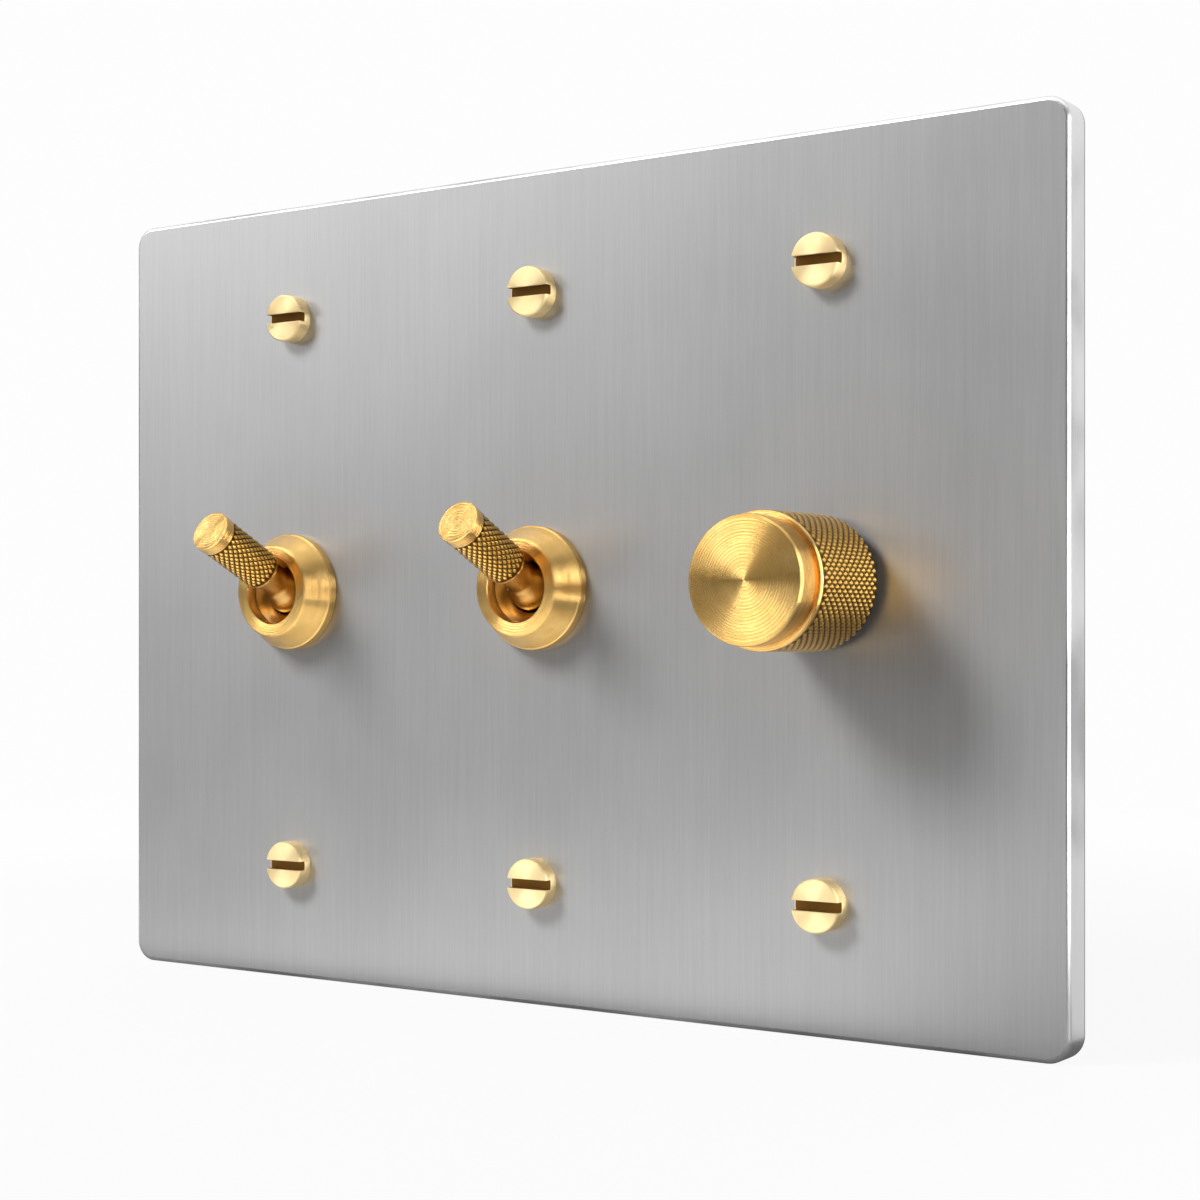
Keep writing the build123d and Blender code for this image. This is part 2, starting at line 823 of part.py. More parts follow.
def triac():
    """Power device lying against the yoke, with its tab and three legs down to the board."""
    body = block(triac_width, triac_length, yoke_back - triac_height, yoke_back)
    tab = block(triac_width, triac_tab_length, yoke_back - triac_tab_thickness, yoke_back)
    body += Pos(0, (triac_length + triac_tab_length) / 2, 0) * tab
    leg = block(triac_leg_width, triac_leg_thickness, board_top, yoke_back - triac_height)
    for step in (-1, 0, 1):
        body += Pos(step * triac_leg_pitch, 0, 0) * leg
    return Pos(0, triac_place, 0) * body


def clamp_places():
    return [Pos(step * clamp_pitch, clamp_place, 0) for step in (-1, 0, 1)]


def dimmer_clamps():
    bottom = board_bottom - clamp_height
    clamp = block(clamp_width, clamp_length, bottom, board_bottom)
    wire_hole = Rot(90, 0, 0) * rod(clamp_wire_radius, -clamp_length, clamp_length)
    clamp -= Pos(0, 0, board_bottom - clamp_wire_depth) * wire_hole
    clamp -= rod(clamp_screw_radius + contact_fit, bottom, board_bottom - clamp_wire_depth)
    return [place * clamp for place in clamp_places()]


def clamp_screws():
    shank = (
        (clamp_screw_radius, 0),
        (clamp_screw_radius, -clamp_screw_length),
        (0, -clamp_screw_length),
    )
    screw = slotted_screw(
        clamp_screw_head_radius,
        clamp_screw_head_height,
        screw_head_edge,
        clamp_screw_slot_width,
        clamp_screw_slot_depth,
        shank,
    )
    screw = Pos(0, 0, board_bottom - clamp_height) * Rot(180, 0, 0) * screw
    return [place * screw for place in clamp_places()]


def write(name, gang, *pieces):
    """Stands the pieces of one node upright in their gang and saves them."""
    placed = []
    for piece in pieces:
        placed += (stand_upright * Pos(gang, 0, 0) * piece).solids()
    shape = placed[0] if len(placed) == 1 else Compound(children=placed)
    export_step(shape, f"parts/{name}.step")


def write_toggle(side, gang):
    write(f"toggle_yoke_{side}", gang, yoke(bush_radius + panel_clearance, switch_rivet))
    write(f"bezel_nut_{side}", gang, bezel_nut())
    write(f"toggle_bush_{side}", gang, toggle_bush())
    write(f"pivot_pin_{side}", gang, pivot_pin())
    write(f"toggle_lever_{side}", gang, toggle_lever())
    write(f"lever_grip_{side}", gang, lever_grip())
    write(f"switch_housing_{side}", gang, switch_housing())
    write(f"switch_base_{side}", gang, switch_base())
    write(f"switch_rivets_{side}", gang, *rivets(switch_rivet, base_bottom))
    write(f"switch_terminals_{side}", gang, *switch_terminals())
    write(f"terminal_screws_{side}", gang, *terminal_screws())
    write(f"slide_carriage_{side}", gang, slide_carriage())
    write(f"bridge_contact_{side}", gang, bridge_contact())
    write(f"detent_leaf_{side}", gang, detent_leaf())


def write_dimmer(gang):
    write("dimmer_yoke", gang, yoke(dimmer_bush_radius + panel_clearance, tub_rivet))
    write("dimmer_knob", gang, dimmer_knob())
    write("dimmer_spindle", gang, dimmer_spindle())
    write("spindle_clip", gang, spindle_clip())
    write("dimmer_bush", gang, dimmer_bush())
    write("lock_washer", gang, lock_washer())
    write("dimmer_nut", gang, dimmer_nut())
    write("dimmer_tub", gang, dimmer_tub())
    write("dimmer_rivets", gang, *rivets(tub_rivet, yoke_back - tub_ear_thickness))
    write("dimmer_board", gang, dimmer_board())
    write("dimmer_rotor", gang, dimmer_rotor())
    write("push_switch", gang, push_switch())
    write("push_slider", gang, push_slider())
    write("push_spring", gang, push_spring())
    write("choke_coil", gang, choke_coil())
    write("film_capacitor", gang, film_capacitor())
    write("triac", gang, triac())
    write("dimmer_clamps", gang, *dimmer_clamps())
    write("clamp_screws", gang, *clamp_screws())


os.makedirs("parts", exist_ok=True)
write("face_plate", gang_middle, face_plate())
write("plate_screws", gang_middle, *plate_screws())
write_toggle("left", gang_left)
write_toggle("middle", gang_middle)
write_dimmer(gang_right)
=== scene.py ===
import json
import math

import bmesh
import bpy
from mathutils import Matrix, Vector

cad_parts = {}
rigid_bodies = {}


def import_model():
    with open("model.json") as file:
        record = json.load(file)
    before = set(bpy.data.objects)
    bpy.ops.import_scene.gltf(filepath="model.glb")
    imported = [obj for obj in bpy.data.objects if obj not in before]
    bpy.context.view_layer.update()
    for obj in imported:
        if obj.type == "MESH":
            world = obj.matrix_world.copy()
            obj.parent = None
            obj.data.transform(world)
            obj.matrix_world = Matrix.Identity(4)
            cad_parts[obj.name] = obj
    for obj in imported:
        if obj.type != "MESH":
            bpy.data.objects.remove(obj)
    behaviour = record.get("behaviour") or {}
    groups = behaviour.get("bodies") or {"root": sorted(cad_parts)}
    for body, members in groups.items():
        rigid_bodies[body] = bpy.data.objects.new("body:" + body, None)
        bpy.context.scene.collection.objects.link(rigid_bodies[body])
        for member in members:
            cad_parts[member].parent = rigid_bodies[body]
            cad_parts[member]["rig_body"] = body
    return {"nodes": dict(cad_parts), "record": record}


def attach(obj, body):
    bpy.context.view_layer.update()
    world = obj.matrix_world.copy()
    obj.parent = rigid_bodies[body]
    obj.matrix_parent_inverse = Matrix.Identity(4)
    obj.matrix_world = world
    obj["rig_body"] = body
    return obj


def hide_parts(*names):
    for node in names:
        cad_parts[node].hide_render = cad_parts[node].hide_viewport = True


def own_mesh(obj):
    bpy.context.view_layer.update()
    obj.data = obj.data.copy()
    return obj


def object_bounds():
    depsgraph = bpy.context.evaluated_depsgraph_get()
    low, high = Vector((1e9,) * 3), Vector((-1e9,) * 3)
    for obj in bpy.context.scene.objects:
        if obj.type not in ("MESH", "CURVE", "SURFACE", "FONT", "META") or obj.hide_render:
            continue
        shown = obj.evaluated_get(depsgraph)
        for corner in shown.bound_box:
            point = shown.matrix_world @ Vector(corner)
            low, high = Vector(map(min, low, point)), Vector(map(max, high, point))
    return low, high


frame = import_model()
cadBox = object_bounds()
nodes = frame["nodes"]
slotOf = {part["node"]: part["material_slot"] for part in frame["record"]["subparts"]}
print("frame loaded:", len(nodes), "nodes")

mm = 0.001
gangPitch = 46.04
layout = {  # millimetres and degrees, as the solids have them
    "gangs": {"left": -gangPitch, "middle": 0.0, "right": gangPitch},
    "screwRow": 41.67,
    "pivotHeight": 6.0,
    "leverTilt": 27.0,
}
toggles = ("left", "middle")


class Val:  # a socket that can be used in sums
    def __init__(self, paint, socket):
        self.paint = paint
        self.socket = socket

    def __add__(self, other):
        return self.paint.calc("ADD", self, other)

    def __radd__(self, other):
        return self.paint.calc("ADD", other, self)

    def __sub__(self, other):
        return self.paint.calc("SUBTRACT", self, other)

    def __rsub__(self, other):
        return self.paint.calc("SUBTRACT", other, self)

    def __mul__(self, other):
        return self.paint.calc("MULTIPLY", self, other)

    def __rmul__(self, other):
        return self.paint.calc("MULTIPLY", other, self)


class Paint:  # one material, or the world, and its nodes
    def __init__(self, name, owner=None, **fixed):
        self.owner = owner or bpy.data.materials.new(name)
        self.owner.use_nodes = True
        self.tree = self.owner.node_tree
        self.shader = self.tree.nodes["Background" if owner else "Principled BSDF"]
        self.set(**fixed)

    def set(self, **sockets):
        for name, value in sockets.items():
            self.plug(self.shader.inputs[name.replace("_", " ")], value)

    def plug(self, socket, value):
        if isinstance(value, Val):
            self.tree.links.new(value.socket, socket)
        else:
            socket.default_value = value

    def node(self, kind, settings=None, sockets=None, out=0):
        made = self.tree.nodes.new(kind)
        for name, value in (settings or {}).items():
            setattr(made, name, value)
        for name, value in (sockets or {}).items():
            self.plug(made.inputs[name], value)
        return Val(self, made.outputs[out])

    def calc(self, operation, *values):
        return self.node("ShaderNodeMath", {"operation": operation}, dict(enumerate(values)))

    def vectorCalc(self, operation, *vectors):  # one number worked out from vectors
        return self.node("ShaderNodeVectorMath", {"operation": operation}, dict(enumerate(vectors)), "Value")

    def split(self, vector, axes="XYZ"):
        return [self.node("ShaderNodeSeparateXYZ", {}, {0: vector}, axis) for axis in axes]

    def rays(self):  # the camera's own, those off gloss and those through glass
        return [self.node("ShaderNodeLightPath", out=f"Is {ray} Ray")
                for ray in ("Camera", "Glossy", "Transmission")]

    def place(self, location=(0, 0, 0), turn=(0, 0, 0), scale=(1, 1, 1)):
        coords = self.node("ShaderNodeTexCoord", out="Object")
        return self.node("ShaderNodeMapping", {}, {
            "Vector": coords, "Location": location, "Rotation": turn, "Scale": scale})

    def noise(self, vector, scale=1.0, detail=2.0, rough=0.5):
        return self.node("ShaderNodeTexNoise", {}, {
            "Vector": vector, "Scale": scale, "Detail": detail, "Roughness": rough}, "Fac")

    def lines(self, along, perMm, detail=1.0):  # uneven lines across a distance in metres
        return self.node("ShaderNodeTexNoise", {"noise_dimensions": "1D"}, {
            "W": along, "Scale": perMm / mm, "Detail": detail}, "Fac")

    def rings(self, along, slope, perMm=(10.7, 16.3, 24.1)):  # close turning grooves, height in millimetres
        waves = [self.calc("SINE", along * (2 * math.pi * count / mm)) * (slope / (2 * math.pi * count))
                 for count in perMm]
        return sum(waves[1:], waves[0])

    def fit(self, value, low, high, start=0.0, end=1.0):
        return self.node("ShaderNodeMapRange", {"interpolation_type": "SMOOTHSTEP"}, {
            "Value": value, "From Min": low, "From Max": high, "To Min": start, "To Max": end})

    def fitMm(self, value, low, high, start=0.0, end=1.0):
        return self.fit(value, low * mm, high * mm, start, end)

    def mix(self, share, first, second):
        first, second = (c if isinstance(c, Val) else (*c, 1) for c in (first, second))
        return self.node("ShaderNodeMix", {"data_type": "RGBA"}, {"Factor": share, 6: first, 7: second}, 2)

    def mottle(self, pattern, first, second, limits=(0.35, 0.65)):  # two tones spread by a pattern
        return self.mix(self.fit(pattern, *limits), first, second)

    def bump(self, height, depthMm):
        return self.node("ShaderNodeBump", {}, {"Height": height, "Distance": depthMm * mm, "Strength": 1.0})

    def axial(self, height=0.0, tilt=0.0, row=0.0):
        # distance from the axis of a turned piece and forward along it; all gangs share the pattern
        turn = Matrix.Rotation(math.radians(tilt), 3, "X")
        spot = self.place(-(turn @ Vector((0, -height * mm, 0))), (math.radians(tilt), 0, 0))
        across, back, up = self.split(spot)
        half = gangPitch / 2 * mm
        across = self.calc("WRAP", across, half, -half)
        if row:
            up = self.calc("ABSOLUTE", up) - row * mm
        flat = self.node("ShaderNodeCombineXYZ", {}, {"X": across, "Y": 0.0, "Z": up})
        return self.vectorCalc("LENGTH", flat), 0.0 - back, spot


brassTones = {"light": (0.85, 0.55, 0.19), "deep": (0.74, 0.45, 0.135)}
# a paler copy of the brass for the screw heads: a painted sheen standing in for their bright reflection
screwSheenTones = {"light": (0.96, 0.76, 0.42), "deep": (0.92, 0.69, 0.34)}
# a darker copy of the brass for the bush and lever: painted shade for parts down in the bezel's mouth
innerShadeTones = {"light": (0.62, 0.39, 0.14), "deep": (0.46, 0.27, 0.085)}
screwSlotShade = {  # where the painted shade in the slot fades out, in millimetres from the axis and the wall
    "side": (3.35, 3.45), "floor": (5.9, 6.1), "mouth": (6.9, 7.28),
    # tone is the painted shade colour in the slot; rougher dulls the slot
    "tone": (0.2, 0.1, 0.022), "rougher": 0.25,
}


def turnedBrass(name, height=0.0, tilt=0.0, row=0.0, rough=0.18, marks=0.26, slot=None, tones=brassTones):
    paint = Paint(name, Metallic=1.0)
    radius, forward, spot = paint.axial(height, tilt, row)
    along = radius - forward
    wide = paint.lines(along, perMm=0.7)
    cloud = paint.noise(spot, scale=260, detail=3)
    tone = paint.mottle(0.8 * cloud + 0.2 * wide, tones["deep"], tones["light"], (0.3, 0.7))
    if slot:  # painted shade down in a screw's slot, a dark tone where the recess lies in shade
        slotShade = paint.fitMm(radius, *slot["side"], 1.0, 0.0)
        slotShade = slotShade * paint.fitMm(forward, *slot["mouth"], 1.0, 0.0)
        slotShade = slotShade * paint.fitMm(forward, *slot["floor"])
        tone = paint.mix(slotShade, tone, slot["tone"])
        rough = rough + slot["rougher"] * slotShade
    paint.set(
        Base_Color=tone,
        Roughness=rough + 0.04 * wide + 0.06 * cloud,
        Normal=paint.bump(paint.rings(along, marks), 1.0))
    return paint


knurlShadeAndWear = {  # painted shade in the grooves and polish on the tops; foot and shoulder of the grooves as shares of the depth below the tops
    "groove": (0.1, 0.045, 0.008), "top": (0.88, 0.53, 0.13), "foot": 0.9, "shoulder": 0.45,
    "rough": 0.36, "polish": 0.18, "past": 0.05, "blend": 0.2,
}


def knurledBrass(name, settings, height=0.0, tilt=0.0):
    paint = Paint(name, Metallic=1.0)
    radius, forward, spot = paint.axial(height, tilt)
    low, high = settings["low"] - knurlShadeAndWear["past"], settings["high"] + knurlShadeAndWear["past"]
    band = paint.fitMm(forward, low - knurlShadeAndWear["blend"], low)
    band = band * paint.fitMm(forward, high, high + knurlShadeAndWear["blend"], 1.0, 0.0)
    peak, depth = settings["radius"], settings["depth"]
    raised = paint.fitMm(radius, peak - knurlShadeAndWear["foot"] * depth, peak - knurlShadeAndWear["shoulder"] * depth)
    outsideGrooveShade = 1 - band * (1 - raised)  # painted shade, dark only down in the grooves
    rings = paint.rings(radius - forward, settings["marks"])
    cloud = paint.noise(spot, scale=300, detail=3)
    tone = paint.mottle(cloud, brassTones["deep"], brassTones["light"], (0.35, 0.75))
    # painted bounce light: a deeper, warmer brass on the knurled band stands in for light bounced between its
    # faces
    tone = paint.mix(band, tone, knurlShadeAndWear["top"])
    rough = knurlShadeAndWear["rough"] - knurlShadeAndWear["polish"] * outsideGrooveShade * band
    paint.set(
        Base_Color=paint.mix(outsideGrooveShade, knurlShadeAndWear["groove"], tone),
        Roughness=rough - (knurlShadeAndWear["rough"] - settings["plain"]) * (1 - band) + 0.06 * cloud,
        Normal=paint.bump(rings * (1 - band), 1.0))
    return paint


faceLook = {
    "metal": 0.4, "stretch": 0.3, "dark": (0.38, 0.38, 0.385), "light": (0.44, 0.44, 0.44), "rough": 0.27,
    "fine": (5200, 300, 70), "wide": (700, 60, 16), "grain": 0.003,
}


def brushedSteel(name, look):  # grain runs up and down the face
    paint = Paint(name, Metallic=look["metal"], Anisotropic=look["stretch"])
    fine = paint.noise(paint.place(scale=look["fine"]), detail=3, rough=0.6)
    wide = paint.noise(paint.place(scale=look["wide"]))
    cloud = paint.noise(paint.place(), scale=40, detail=3)
    grain = 0.5 * fine + 0.1 * wide + 0.4 * cloud
    paint.set(
        Base_Color=paint.mottle(grain, look["dark"], look["light"], (0.3, 0.7)),
        Roughness=look["rough"] + 0.08 * fine + 0.04 * cloud,
        Normal=paint.bump(fine, look["grain"]))
    return paint


edgeLook = {
    "metal": 0.95, "dark": (0.42, 0.42, 0.425), "light": (0.74, 0.74, 0.74), "rough": 0.2,
    "lines": (30, 2600, 30), "grain": 0.008, "dull": (0.12, 0.12, 0.12), "dullFrom": (-0.75, -0.45),
}


def edgeSteel(name, look):  # polished along the edge after the face was brushed, with painted shade darkening the back edge by the wall
    paint = Paint(name, Metallic=look["metal"])
    lines = paint.noise(paint.place(scale=look["lines"]))
    cloud = paint.noise(paint.place(), scale=45, detail=3)
    back = paint.split(paint.place(), "Y")[0]
    tone = paint.mottle(cloud, look["dark"], look["light"])
    paint.set(
        # painted shade: a dark tone on the back edge, where it turns away towards the wall
        Base_Color=paint.mix(paint.fitMm(back, *look["dullFrom"]), tone, look["dull"]),
        Roughness=look["rough"] + 0.1 * lines + 0.08 * cloud,
        Normal=paint.bump(lines, look["grain"]))
    return paint


def platedSteel(name, cool=(0.5, 0.51, 0.53), warm=(0.6, 0.58, 0.52), rough=0.28):
    paint = Paint(name, Metallic=1.0)
    cloud = paint.noise(paint.place(), scale=110, detail=3)
    grit = paint.noise(paint.place(), scale=2600)
    paint.set(
        Base_Color=paint.mottle(cloud, cool, warm),
        Roughness=rough + 0.12 * cloud + 0.08 * grit,
        Normal=paint.bump(grit, 0.006))
    return paint


def rolledMetal(name, first, second, rough=0.3):  # rolling lines along Z, as sheet has
    paint = Paint(name, Metallic=1.0)
    lines = paint.noise(paint.place(scale=(1400, 1400, 25)), detail=3)
    cloud = paint.noise(paint.place(), scale=90)
    paint.set(
        Base_Color=paint.mottle(0.5 * lines + 0.5 * cloud, first, second),
        Roughness=rough + 0.12 * lines + 0.06 * cloud,
        Normal=paint.bump(lines, 0.006))
    return paint


def mouldedPlastic(name, dark, light, rough=0.42, grain=0.012, scale=3400):
    paint = Paint(name)
    spark = paint.noise(paint.place(), scale)  # the tool's spark-eroded skin
    cloud = paint.noise(paint.place(), scale=85, detail=3)
    paint.set(
        Base_Color=paint.mottle(0.7 * cloud + 0.3 * spark, dark, light),
        Roughness=rough + 0.1 * cloud + 0.08 * spark,
        Normal=paint.bump(spark, grain))
    return paint


def circuitBoard(name):
    paint = Paint(name)
    flat = paint.place(turn=(math.pi / 2, 0, 0), scale=(420, 420, 420))
    tracks = paint.node("ShaderNodeTexBrick", {"offset": 0.37}, {
        "Vector": flat, "Mortar Size": 0.09, "Brick Width": 1.6, "Row Height": 0.7}, "Fac")
    cloud = paint.noise(paint.place(), scale=200)
    paint.set(
        Base_Color=paint.mix(tracks, (0.02, 0.13, 0.06), (0.05, 0.26, 0.12)),
        Roughness=0.25 + 0.15 * cloud,
        Normal=paint.bump(tracks, 0.04))
    return paint


def copperWinding(name, height=-13.6, turns=34):  # round the coil's axis, in the dimmer's gang
    paint = Paint(name, Coat_Weight=0.6)
    spot = paint.place((-gangPitch * mm, 0, -height * mm))
    across, up = paint.split(spot, "XZ")
    angle = paint.calc("ARCTAN2", up, across)
    wave = paint.calc("SINE", angle * turns) * 0.5 + 0.5
    paint.set(
        Base_Color=paint.mix(wave, (0.14, 0.045, 0.015), (0.5, 0.2, 0.08)),
        Metallic=0.6 * wave,
        Roughness=0.4 - 0.15 * wave,
        Normal=paint.bump(wave, 0.25))
    return paint


# knurls in millimetres, with the slope of the turning marks and the roughness of the plain ends
knobKnurl = {"starts": 49, "rows": 20, "radius": 8.952, "depth": 0.4, "low": 6.4, "high": 20.4,
             "flat": 0.2, "marks": 0.22, "plain": 0.15}
gripKnurl = {"starts": 21, "rows": 16, "radius": 3.15, "depth": 0.28, "low": 0.5, "high": 10.6,
             "flat": 0.13, "marks": 0.5, "plain": 0.04}
gripStart = 6.498  # along the lever, from its pivot
gripBand = {**gripKnurl, "low": gripKnurl["low"] + gripStart, "high": gripKnurl["high"] + gripStart}

leverHeight, leverTilt = layout["pivotHeight"], layout["leverTilt"]
paints = {
    "plate_steel": brushedSteel("brushedFace", faceLook),
    "screw_brass": turnedBrass(
        "screwBrass", row=layout["screwRow"], rough=0.34, marks=0.38, slot=screwSlotShade, tones=screwSheenTones),
    "yoke_steel": platedSteel("yokeZinc"),
    "bezel_brass": turnedBrass("bezelBrass"),
    "bush_brass": turnedBrass("bushBrass", rough=0.2, marks=0.08, tones=innerShadeTones),
    "pin_steel": platedSteel("pinSteel", (0.46, 0.46, 0.47), (0.54, 0.54, 0.54), 0.2),
    "lever_brass": turnedBrass("leverBrass", leverHeight, leverTilt, rough=0.2, marks=0.05, tones=innerShadeTones),
    "grip_brass": knurledBrass("gripBrass", gripBand, leverHeight, leverTilt),
    "housing_black": mouldedPlastic("housingBlack", (0.016, 0.016, 0.017), (0.034, 0.034, 0.036)),
    "base_black": mouldedPlastic("baseBlack", (0.028, 0.024, 0.02), (0.055, 0.048, 0.042), 0.5),
    "rivet_steel": platedSteel("rivetSteel", rough=0.24),
    "terminal_brass": rolledMetal("terminalBrass", (0.6, 0.42, 0.18), (0.74, 0.53, 0.25)),
    "terminal_screw_steel": platedSteel("terminalScrewSteel", (0.5, 0.5, 0.5), (0.6, 0.57, 0.5), 0.22),
    "carriage_nylon": mouldedPlastic("carriageNylon", (0.68, 0.66, 0.6), (0.8, 0.78, 0.72), 0.38, 0.006),
    "contact_brass": rolledMetal("contactBrass", (0.62, 0.45, 0.2), (0.76, 0.56, 0.3)),
    "spring_steel": rolledMetal("springSteel", (0.4, 0.4, 0.41), (0.55, 0.55, 0.55), 0.22),
    "yoke_aluminium": rolledMetal("yokeAluminium", (0.62, 0.62, 0.63), (0.78, 0.78, 0.79), 0.34),
    "knob_brass": knurledBrass("knobBrass", knobKnurl),
    "spindle_steel": rolledMetal("spindleSteel", (0.45, 0.45, 0.46), (0.58, 0.58, 0.58), 0.22),
    "washer_steel": platedSteel("washerSteel", rough=0.3),
    "nut_brass": rolledMetal("nutBrass", (0.64, 0.44, 0.18), (0.78, 0.55, 0.25), 0.26),
    "tub_black": mouldedPlastic("tubBlack", (0.014, 0.014, 0.015), (0.032, 0.032, 0.034), 0.46, 0.016),
    "board_green": circuitBoard("boardGreen"),
    "rotor_nylon": mouldedPlastic("rotorNylon", (0.64, 0.62, 0.56), (0.77, 0.75, 0.7), 0.4, 0.006),
    "push_block_grey": mouldedPlastic("pushBlockGrey", (0.2, 0.2, 0.21), (0.28, 0.28, 0.29)),
    "choke_copper": copperWinding("chokeCopper"),
    "capacitor_yellow": mouldedPlastic(
        "capacitorYellow", (0.62, 0.44, 0.06), (0.78, 0.6, 0.14), rough=0.18, grain=0.03, scale=700),
    "triac_black": mouldedPlastic("triacBlack", (0.02, 0.02, 0.02), (0.035, 0.035, 0.035), 0.4),
}
plateEdge = edgeSteel("plateEdge", edgeLook)
plateBack = rolledMetal("plateBack", (0.4, 0.4, 0.405), (0.52, 0.52, 0.52), 0.36)
print("paints mixed:", len(paints) + 2)

for name, node in nodes.items():  # every solid gets its finish, the inner ones too
    node.data.materials.clear()
    node.data.materials.append(paints[slotOf[name]].owner)


def inGang(side):  # millimetres drawn face up, stood upright in a gang
    shift = Matrix.Translation((layout["gangs"][side] * mm, 0, 0))
    return shift @ Matrix.Rotation(math.pi / 2, 4, "X") @ Matrix.Scale(mm, 4)


def onLever(side):
    lean = Matrix.Rotation(math.radians(-leverTilt), 4, "X")
    return inGang(side) @ Matrix.Translation((0, 0, leverHeight)) @ lean


def addObject(name, data):
    added = bpy.data.objects.new(name, data)
    bpy.context.scene.collection.objects.link(added)
    return added


def pieceName(node):
    first, *rest = node.split("_")
    return first + "".join(word.capitalize() for word in rest)


def asPiece(bm, node, angle=30, crown=None, paintList=None):  # crown is the angle for edges that stand out
    for face in bm.faces:
        face.smooth = True
    for edge in bm.edges:  # creases at corners and where the finish changes
        finishes = {face.material_index for face in edge.link_faces}
        limit = crown if crown and edge.is_convex else angle
        edge.smooth = len(finishes) == 1 and edge.calc_face_angle(0) < math.radians(limit)
    mesh = bpy.data.meshes.new(pieceName(node))
    bm.to_mesh(mesh)
    bm.free()
    for paint in paintList or [paints[slotOf[node]]]:
        mesh.materials.append(paint.owner)
    piece = addObject(pieceName(node), mesh)
    steady = piece.modifiers.new("steadyShading", "WEIGHTED_NORMAL")
    steady.keep_sharp = True
    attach(piece, nodes[node]["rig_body"])
    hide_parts(node)
    return piece


def merged(node, join=True, flat=0.5):  # a welded copy of a solid's mesh, with its flat faces joined up
    bm = bmesh.new()
    bm.from_mesh(nodes[node].data)
    bmesh.ops.remove_doubles(bm, verts=bm.verts, dist=1e-6)
    if join:
        bmesh.ops.dissolve_limit(bm, angle_limit=math.radians(flat), verts=bm.verts, edges=bm.edges)
    return bm


def soften(bm, widthMm, segments=2, angle=40):
    sharp = [e for e in bm.edges if e.is_manifold and e.calc_face_angle(0) > math.radians(angle)]
    bmesh.ops.bevel(bm, geom=sharp, offset=widthMm * mm, segments=segments, profile=0.5,
                    affect="EDGES", material=-1, clamp_overlap=True)


def drawOn(bm, rim, outline):  # carries a round rim on through (radius, height) rings and closes it
    for radius, height in outline:
        grown = bmesh.ops.extrude_edge_only(bm, edges=rim)["geom"]
        rim = [g for g in grown if isinstance(g, bmesh.types.BMEdge) and g.is_boundary]
        for vert in {v for e in rim for v in e.verts}:
            vert.co.xy *= radius / vert.co.xy.length
            vert.co.z = height
    ends = list({v for e in rim for v in e.verts})
    bmesh.ops.pointmerge(bm, verts=ends, merge_co=(0, 0, ends[0].co.z))


def knurledTube(settings, shape):
    bm = bmesh.new()
    starts, rows = settings["starts"], settings["rows"]
    low, high, radius = settings["low"], settings["high"], settings["radius"]
    middle = (low + high) / 2
    bmesh.ops.create_cone(bm, segments=2 * starts, radius1=radius, radius2=radius, depth=high - low,
                          matrix=Matrix.Translation((0, 0, middle)))
    upright = [e for e in bm.edges if (e.verts[0].co.z - middle) * (e.verts[1].co.z - middle) < 0]
    bmesh.ops.subdivide_edges(bm, edges=upright, cuts=rows - 1, use_grid_fill=True)
    peaks, valleys = [], []
    for vert in bm.verts:
        column = round(math.atan2(vert.co.x, vert.co.y) * starts / math.pi)
        row = round((vert.co.z - low) / (high - low) * rows)
        if (row + column) % 2 and 0 < row < rows:
            peaks.append(vert)
        else:
            vert.co.xy *= 1 - settings["depth"] / radius
            valleys.append(vert)
    frontRim = [e for e in bm.edges if e.is_boundary and e.verts[0].co.z > middle]
    backRim = [e for e in bm.edges if e.is_boundary and e.verts[0].co.z < middle]
    bmesh.ops.connect_verts(bm, verts=valleys)  # the crossing grooves
    bmesh.ops.bevel(bm, geom=peaks, offset=settings["flat"], segments=1, profile=0.5,
                    affect="VERTICES", material=-1)
    drawOn(bm, frontRim, shape["front"])
    drawOn(bm, backRim, shape["back"])
    bmesh.ops.recalc_face_normals(bm, faces=bm.faces)
    return bm


# dimmer knob: collar, groove and cap in front of the knurl, nut recess and bore behind it
knobShape = {
    "front": [(8.60, 20.4), (8.80, 20.6), (8.80, 21.0), (8.60, 21.2), (7.60, 21.22), (7.60, 21.68),
              (8.14, 21.7), (8.20, 21.76), (8.20, 24.6), (8.12, 24.78), (7.98, 24.92), (7.80, 25.0),
              (4.0, 25.0), (0.5, 25.0)],
    "back": [(8.40, 6.4), (7.75, 6.4), (7.75, 10.4), (3.03, 10.4), (3.03, 18.3), (0.5, 18.4)],
}
knurlCreases = {"angle": 18, "crown": 75}
bm = knurledTube(knobKnurl, knobShape)
bmesh.ops.transform(bm, matrix=inGang("right"), verts=bm.verts)
asPiece(bm, "dimmer_knob", **knurlCreases)

# lever grips: plain turned tip in front of the knurl, collar and bore behind it
gripShape = {
    "front": [(2.90, 10.6), (3.15, 10.85), (3.15, 12.36), (3.09, 12.5), (2.92, 12.6), (1.5, 12.6),
              (0.3, 12.6)],
    "back": [(2.87, 0.1), (2.77, 0.0), (1.63, 0.0), (1.63, 8.4), (0.3, 8.5)],
}
for side in toggles:
    bm = knurledTube(gripKnurl, gripShape)
    bmesh.ops.transform(bm, matrix=onLever(side) @ Matrix.Translation((0, 0, gripStart)), verts=bm.verts)
    asPiece(bm, f"lever_grip_{side}", **knurlCreases)
print("knurled pieces built")


def outlineLoop(bm, points):  # corners and edges of a closed outline, to be spun
    corners = [bm.verts.new(point) for point in points]
    return corners + [bm.edges.new(pair) for pair in zip(corners, corners[1:] + corners[:1])]


